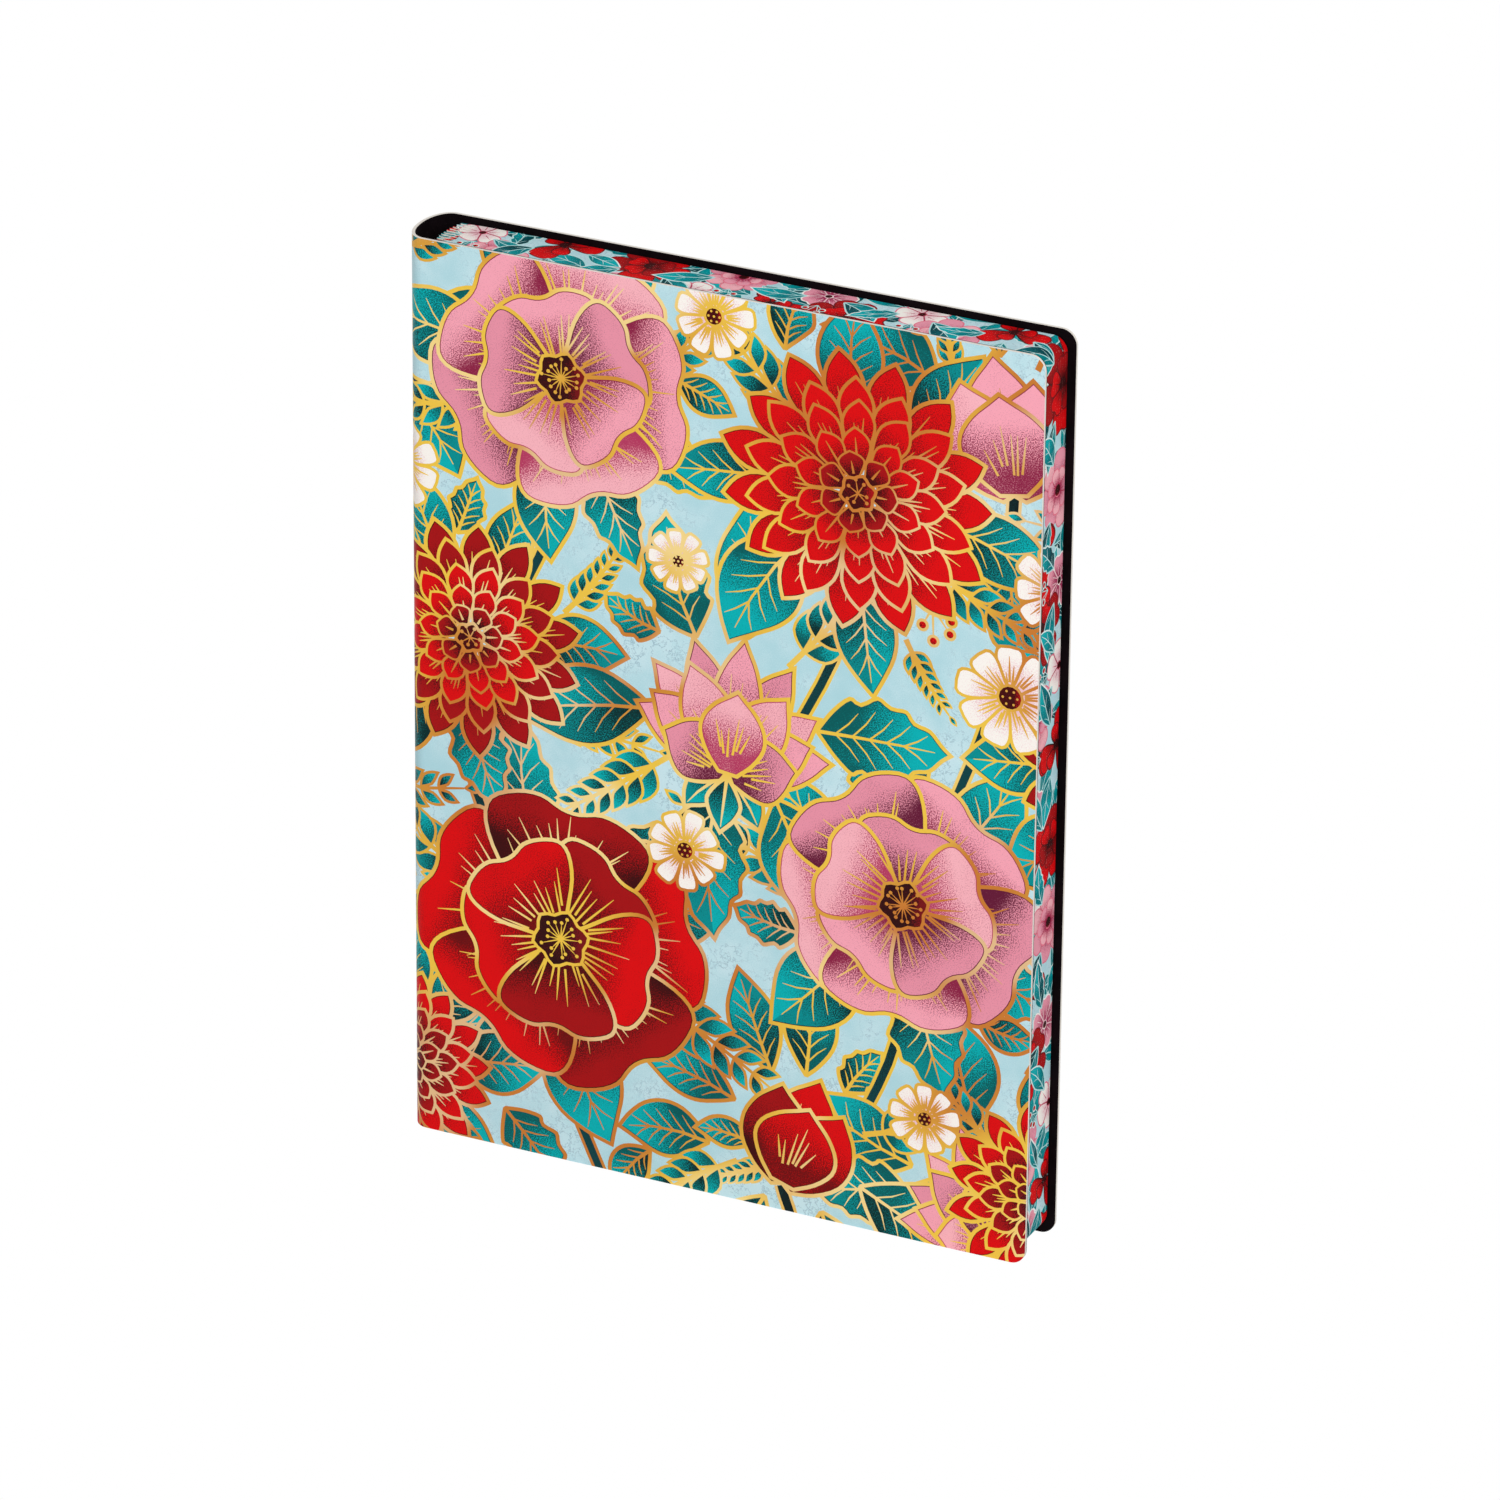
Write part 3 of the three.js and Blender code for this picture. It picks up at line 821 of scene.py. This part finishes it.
def woven(name, deep, light, pitch, lean, roughness):
    """Threads that cross square where lean is 0, or one cord twisted from strands that lean."""
    made, nodes, shader, position, plain = fibrous(name, deep, light, 6000.0, roughness, 4e-5)
    _, y, z = nodes.add("SeparateXYZ", {0: position}).outputs
    turns = math.tau / (pitch * MM)
    height = nodes.wave(nodes.times(nodes.plus(z, nodes.times(y, lean)), turns))
    if not lean:
        height = nodes.math("MAXIMUM", height, nodes.wave(nodes.times(y, turns)))
    shade = nodes.span(height, 0.0, 0.9, 0.35, 1.0)
    nodes.fill(shader.inputs, {"Base Color": nodes.mix(1.0, plain, shade, "MULTIPLY"),
                               "Normal": nodes.bump(height, 1e-4, 0.8)})
    return made


# Sizes from the frame, in millimetres

def ends_of(node):
    return np.array(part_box(node)) / MM


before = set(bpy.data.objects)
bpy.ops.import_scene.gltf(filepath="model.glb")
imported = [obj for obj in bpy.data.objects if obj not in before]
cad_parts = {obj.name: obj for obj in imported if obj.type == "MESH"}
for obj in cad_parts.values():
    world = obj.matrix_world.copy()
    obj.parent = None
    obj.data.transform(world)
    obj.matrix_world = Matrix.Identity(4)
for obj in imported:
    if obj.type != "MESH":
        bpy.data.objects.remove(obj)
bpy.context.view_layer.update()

spine_low, spine_high = ends_of("spine_print")
SECTIONS = sorted(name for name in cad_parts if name.startswith("section_"))
page_low, page_high = ends_of(SECTIONS[0])

HEIGHT = spine_high[2]  # the covers stand from 0 to here
SPINE_X = spine_high[0]  # the round spine ends and the flat covers begin
SPINE_REACH = SPINE_X - spine_low[0]  # half axes of the spine's ellipse, along x
HALF = spine_high[1]  # and along y: half the notebook's thickness
FORE_X = ends_of("front_print")[1, 0]
PRINT, BOARD, LINING = (np.ptp(ends_of("front_" + layer)[:, 1]) for layer in ("print", "board", "lining"))
CORNER_RADIUS = 3.5
CORNER_STEPS = 10

FRONT_ROUND, BACK_ROUND = 2.25, 2.0  # 2 is an ellipse, and more is squarer
QUARTER_POINTS = 1200


def quarter(power):
    """Length along a quarter of the spine, place and outward lean at each of many points of it."""
    turns = np.linspace(0, math.pi / 2, QUARTER_POINTS)
    x = SPINE_X - SPINE_REACH * np.cos(turns) ** (2 / power)
    y = HALF * np.sin(turns) ** (2 / power)
    lengths = np.concatenate(([0], np.cumsum(np.hypot(np.diff(x), np.diff(y)))))
    lean = np.stack((np.gradient(-y), np.gradient(x)))
    lean[:, 0], lean[:, -1] = (-1, 0), (0, 1)
    return lengths, x, y, lean / np.linalg.norm(lean, axis=0)


QUARTERS = {1: quarter(FRONT_ROUND), -1: quarter(BACK_ROUND)}
ARC = {hand: made[0][-1] for hand, made in QUARTERS.items()}  # from middle line to flat cover
WRAP = {hand: arc + FORE_X - SPINE_X for hand, arc in ARC.items()}  # and to the fore-edge
PERIOD = WRAP[1]
SPINE_STRIPS = 36  # flat strips along a quarter of the spine
CREASE_STRIPS, CREASE_STRIP = 9, 0.3  # narrow strips past it, where the cover bends


# Wrap, card core and black lining, each in two halves that meet along the spine

def round_the_spine(across, up, out):
    """Takes half of the flat wrap, from its middle line at 0, round the spine and along a cover."""
    hand = 1 if across.max() > -across.min() else -1
    lengths, x, y, lean = QUARTERS[hand]
    reach = np.abs(across)
    past = np.maximum(reach - ARC[hand], 0)
    lean_x, lean_y = (np.interp(reach, lengths, part) for part in lean)
    place_x = np.interp(reach, lengths, x) + past + lean_x * out
    place_y = np.interp(reach, lengths, y) + lean_y * out
    return np.stack((place_x, -hand * place_y, up), 1)


def corner(centre, first):
    """A quarter turn of the rounded corner, from an angle in quarter turns."""
    turns = (first + np.linspace(0, 1, CORNER_STEPS + 1)) * math.pi / 2
    return centre + CORNER_RADIUS * np.stack((np.cos(turns), np.sin(turns)), 1)


def half_rim(hand):
    far = WRAP[hand] - CORNER_RADIUS
    rim = np.vstack(((0, 0), corner((far, CORNER_RADIUS), 3), corner((far, HEIGHT - CORNER_RADIUS), 0),
                     (0, HEIGHT)))
    return rim if hand > 0 else (rim * (-1, 1))[::-1]


def half_wrap(side, hand, pattern):
    """Print, card and lining of one cover and its half of the spine."""
    crease = ARC[hand] + np.arange(1, CREASE_STRIPS + 1) * CREASE_STRIP
    bends = hand * np.concatenate((np.linspace(0, ARC[hand], SPINE_STRIPS + 1)[1:], crease))
    depth = 0.0
    for layer, spine_layer, thickness, slot, finish in LAYERS:
        name = f"{side}_wrap_{layer}"
        areas = pattern if layer == "print" else ()
        piece = slab(name, half_rim(hand), depth, thickness, bends, round_the_spine, finish, areas)
        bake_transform(piece)
        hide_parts(f"{side}_{layer}", f"spine_{spine_layer}")
        depth += thickness


# Printed edges of the leaves, one skin for each section

EDGE_LINE = 0.34
EDGE_TILE = (25, 2)
SKIN = 0.02  # how far a skin stands out from the leaves, and reaches in
CORNER_FACETS = 7
FOLD_HALF, KNEE_HALF = 0.25, 0.38  # half thickness of a section at its fold and further out
# The fold is rounded over FOLD_REACH, and from there a section thickens up to TAPER_REACH
FOLD_REACH, KNEE_REACH, TAPER_REACH, FLUSH_REACH = 0.25, 2.5, 5.0, 7.0
SHY, FLUSH = 0.01, 0.013  # a skin is narrower than its section near the fold, and then wider
PAST_ENDS = 8  # the pattern runs this far past the strip's ends
TURN_X = page_high[0] - CORNER_RADIUS  # the leaves' round corners begin here
PAGE_TAIL, PAGE_HEAD = page_low[2], page_high[2]
# Along the strip, from 0 where the head's straight edge ends
TURN = CORNER_RADIUS * math.pi / 2  # the head's corner ends
FORE_RUN = PAGE_HEAD - PAGE_TAIL - 2 * CORNER_RADIUS
TAIL_TURN = TURN + FORE_RUN  # the tail's corner begins
EDGE_END = TAIL_TURN + TURN  # and ends


def round_the_block(along, thick, out):
    """Takes a flat strip along the head, down the fore-edge and back along the tail."""
    head = np.clip(along, 0, TURN) / CORNER_RADIUS
    tail = np.clip(along - TAIL_TURN, 0, TURN) / CORNER_RADIUS
    angle = head + tail
    reach = CORNER_RADIUS + out
    x = TURN_X + np.minimum(along, 0) - np.maximum(along - EDGE_END, 0) + reach * np.sin(angle)
    down = np.clip(along - TURN, 0, FORE_RUN)
    z = PAGE_HEAD - CORNER_RADIUS - down + reach * np.cos(angle)
    return np.stack((x, thick, z), 1)


def posy(sheet, centre, radius, turn, petals, rounds, strokes, inks, side):
    """A small flower for the edges of the leaves."""
    for level in range(rounds):
        reach = radius * (1, 0.62, 0.36)[level]
        for k in range(petals):
            heading = turn + math.tau * (k * 2 % petals + 0.5 * level) / petals
            width = reach * 2.3 / petals
            axis = Axis(centre, heading, reach * sheet.draw.uniform(0.92, 1.06), width)
            petal(sheet, side, axis, inks[(k + level) % len(inks)], False, 2, 1.0, strokes, 0.6)
    heart = radius * 0.17
    sheet.outlined(circle(centre, heart, 10), MAROON, Axis(centre, 0, heart, heart), 0.7)


PALE = ("b4e4e4", "eefaf6", INK)
EDGE_RED = ("98070c", "e00a10", INK)
EDGE_WINE = ("4e090d", "ac1216", INK)
EDGE_PINK = ("a8355c", "f29fb2", INK)
EDGE_TEAL = ("007c82", "08b2b8", INK)
EDGE_GREEN = ("003f45", "00767f", INK)
EDGE_BLOOMS = (  # radius, line ink, petals, rounds, strokes, inks, petal
    (9.5, MAROON, 5, 2, 1, (EDGE_RED, EDGE_WINE), HEART_PETAL),
    (6.5, SALMON, 5, 1, 1, (CREAM, CREAM), ROUND_PETAL),
    (9.0, SALMON, 7, 2, 2, (EDGE_PINK, BLUSH), ROUND_PETAL),
    (8.5, MAROON, 6, 2, 1, (EDGE_RED, EDGE_RED), ROUND_PETAL),
    (6.0, CREAM, 5, 1, 2, (EDGE_PINK, EDGE_PINK), HEART_PETAL),
)


def edge_pattern(start, end, half):
    """Small flowers, leaves and berries from one end of the strip to the other."""
    leaves = Sheet(EDGE_LINE, PALE, 23)
    blooms = Sheet(EDGE_LINE, MAROON, 29)
    over = Sheet(EDGE_LINE, PALE, 31)
    draw = leaves.draw
    place, turn = start, 0
    while place < end:
        radius, blooms.line_ink, *shape = EDGE_BLOOMS[turn % len(EDGE_BLOOMS)]
        radius *= draw.uniform(0.85, 1.1)
        hand = 1 if turn % 2 else -1
        centre = np.array((place + draw.uniform(-1, 1), hand * (half - draw.uniform(0, 4))))
        posy(blooms, centre, radius, draw.uniform(0, 6.28), *shape)
        for k in range(5):
            sheet = over if k in (1, 3) and turn % 2 else leaves
            heading = math.pi * (k - 2) / 3.1 - hand * math.pi / 2 + draw.uniform(-0.2, 0.2)
            length = draw.uniform(10, 14)
            axis = Axis(centre + direction(heading) * radius * 0.75, heading, length,
                        length * draw.uniform(0.2, 0.28), draw.uniform(-0.8, 0.8))
            leaf(sheet, axis, draw.choice(LEAVES), (EDGE_TEAL, draw.choice((EDGE_GREEN, EDGE_TEAL))), 2)
        if turn % 2:
            berries(over, centre - (0, hand * radius * 0.9), -hand * math.pi / 2, 0.85)
        place += radius * draw.uniform(1.15, 1.5)
        turn += 1
    return leaves.areas + blooms.areas + over.areas


def edge_rim(low, high):
    """Outline of one section's edges laid out flat, thinning at the fold at either end."""
    middle, half = (low[1] + high[1]) / 2, (high[1] - low[1]) / 2
    start = low[0] + FOLD_REACH - TURN_X
    wedge = ((-FOLD_REACH, FOLD_HALF * 0.5), (0, FOLD_HALF - SHY), (KNEE_REACH, KNEE_HALF - SHY),
             (TAPER_REACH, half - SHY), (FLUSH_REACH, half + FLUSH))
    near = [(start + reach, width) for reach, width in wedge]
    far = [(EDGE_END - reach, width) for reach, width in near[::-1]]
    side = np.array(near + far)
    return np.vstack((side * (1, -1), side[::-1])) + (0, middle)


def edge_prints(finish):
    half = np.abs([ends_of(name)[:, 1] for name in SECTIONS]).max()
    run = TURN_X - page_low[0] + PAST_ENDS
    areas = edge_pattern(-run, EDGE_END + run, half)
    facets = np.arange(CORNER_FACETS + 1) / CORNER_FACETS * TURN
    bends = np.concatenate((facets, TAIL_TURN + facets))
    for name in SECTIONS:
        rim = edge_rim(*ends_of(name))
        piece = slab(name + "_edge_print", rim, -SKIN, 2 * SKIN, bends, round_the_block, finish, areas,
                     EDGE_TILE)
        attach(piece, name)


def dress(finish, *nodes):
    """Gives CAD pieces their material."""
    for node in nodes:
        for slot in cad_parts[node].material_slots:
            slot.material = finish


ink = ink_group()
# On the cover, the foil's colour holds a painted reflection that drifts over broad patches
wrap_print = printed("cover_print", ink, grain=3700.0, stipple=4.0, painted_reflection=22.0, mottle=60.0, metal=0.3,
                     roughness=0.4, gloss=0.08)
edge_print = printed("edge_print", ink, grain=5000.0, stipple=1.6, painted_reflection=40.0, mottle=120.0, metal=0.0,
                     roughness=0.62, gloss=0.04)
card = fibrous("card", "e6ded4", "f6f1e9", scale=4000.0, roughness=0.8, depth=3e-5)[0]
black_paper = fibrous("black_paper", "070305", "120a0e", scale=3500.0, roughness=0.75, depth=4e-5,
                      gloss=0.05)[0]
writing_paper = ruled_paper()
gauze = woven("gauze", "d2c9b6", "efe8d8", pitch=1.2, lean=0.0, roughness=0.85)
glue = fibrous("glue", "d8c9a0", "ece0bd", scale=400.0, roughness=0.35, depth=8e-5, gloss=0.5)[0]
thread = woven("thread", "d8d0c0", "f4eee2", pitch=0.9, lean=1.0, roughness=0.7)

dress(writing_paper, *SECTIONS)
dress(black_paper, "front_flyleaf", "back_flyleaf")
dress(gauze, "block_gauze")
dress(glue, "block_glue")
dress(thread, "sewing_thread")

cover_areas = [(outline + (shift, 0), tone, axis._replace(base=np.add(axis.base, (shift, 0))))
               for outline, tone, axis in cover_pattern(PERIOD, HEIGHT)
               for shift in (-PERIOD, 0, PERIOD)]
# Each layer of the wrap: name, name round the spine, thickness, slot and material
LAYERS = (("print", "print", PRINT, "cover_print", wrap_print), ("board", "card", BOARD, "card", card),
          ("lining", "lining", LINING, "black_paper", black_paper))
half_wrap("front", 1, cover_areas)
half_wrap("back", -1, cover_areas)
edge_prints(edge_print)


# Floor, light and camera

FLOOR_REACH = 6.0  # half the floor's width, in metres


def floor():
    mesh = bpy.data.meshes.new("floor")
    ends = (-FLOOR_REACH, FLOOR_REACH)
    mesh.from_pydata([(x, y, 0) for y in ends for x in ends], [], [(0, 1, 3, 2)])
    made, nodes, shader, _ = material("floor")
    nodes.fill(shader.inputs, {"Base Color": (0.9, 0.9, 0.9, 1), "Roughness": 0.9, "Specular IOR Level": 0.0})
    glow = nodes.add("Emission", {"Color": (1, 1, 1, 1), "Strength": 1.0}).outputs[0]
    mixed = nodes.add("MixShader", {0: seen_directly(nodes), 1: shader.outputs[0], 2: glow}).outputs[0]
    nodes.fill(made.node_tree.nodes["Material Output"].inputs, {"Surface": mixed})
    mesh.materials.append(made)
    new_object("floor", mesh)


def seen_directly(nodes):
    """1 for what the camera sees and for what shows in gloss, and 0 for light on its way."""
    path = nodes.add("LightPath").outputs
    return nodes.math("MAXIMUM", path["Is Camera Ray"], path["Is Glossy Ray"])


AMBIENT = 0.42  # strength of the surroundings as light


def surroundings():
    world = bpy.data.worlds.new("studio")
    world.use_nodes = True
    bpy.context.scene.world = world
    nodes = Nodes(world.node_tree)
    strength = nodes.span(seen_directly(nodes), 0, 1, AMBIENT, 1.0)
    background = world.node_tree.nodes["Background"].inputs
    nodes.fill(background, {"Color": (1, 1, 1, 1), "Strength": strength})


def away(azimuth, elevation):
    """Direction away from the notebook. Azimuth 0 is straight in front of it."""
    a, e = math.radians(azimuth), math.radians(elevation)
    return Vector((math.sin(a) * math.cos(e), -math.cos(a) * math.cos(e), math.sin(e)))


def lamp(name, azimuth, elevation, distance, size, power):
    """A square soft lamp that faces the middle of the notebook."""
    back = away(azimuth, elevation)
    data = bpy.data.lights.new(name, "AREA")
    data.size = size
    data.energy = power
    made = new_object(name, data)
    made.location = back * distance + Vector((0, 0, HEIGHT * MM / 2))
    made.rotation_euler = back.to_track_quat("Z", "Y").to_euler()


def camera(azimuth, elevation, roll, distance, slide, focal):
    """Looks at the middle of the notebook, slid a little in the picture's own plane."""
    a, r = math.radians(azimuth), math.radians(roll)
    back = away(azimuth, elevation)
    level = Vector((math.cos(a), math.sin(a), 0))
    upright = back.cross(level)
    right = level * math.cos(r) - upright * math.sin(r)
    up = level * math.sin(r) + upright * math.cos(r)
    data = bpy.data.cameras.new("camera")
    data.lens = focal
    made = new_object("camera", data)
    made.matrix_world = Matrix((right, up, back)).transposed().to_4x4()
    made.location = (Vector((0, 0, HEIGHT / 2)) - right * slide[0] - up * slide[1] + back * distance) * MM
    bpy.context.scene.camera = made


floor()
surroundings()
lamp("key", azimuth=42, elevation=45, distance=1.6, size=1.2, power=13.0)
lamp("fill", azimuth=15, elevation=20, distance=1.8, size=1.2, power=5.0)
camera(azimuth=25.38, elevation=25.02, roll=-0.551, distance=2111.0, slide=(-3.81, 2.29), focal=234.9)
bpy.context.scene.view_settings.view_transform = "Standard"
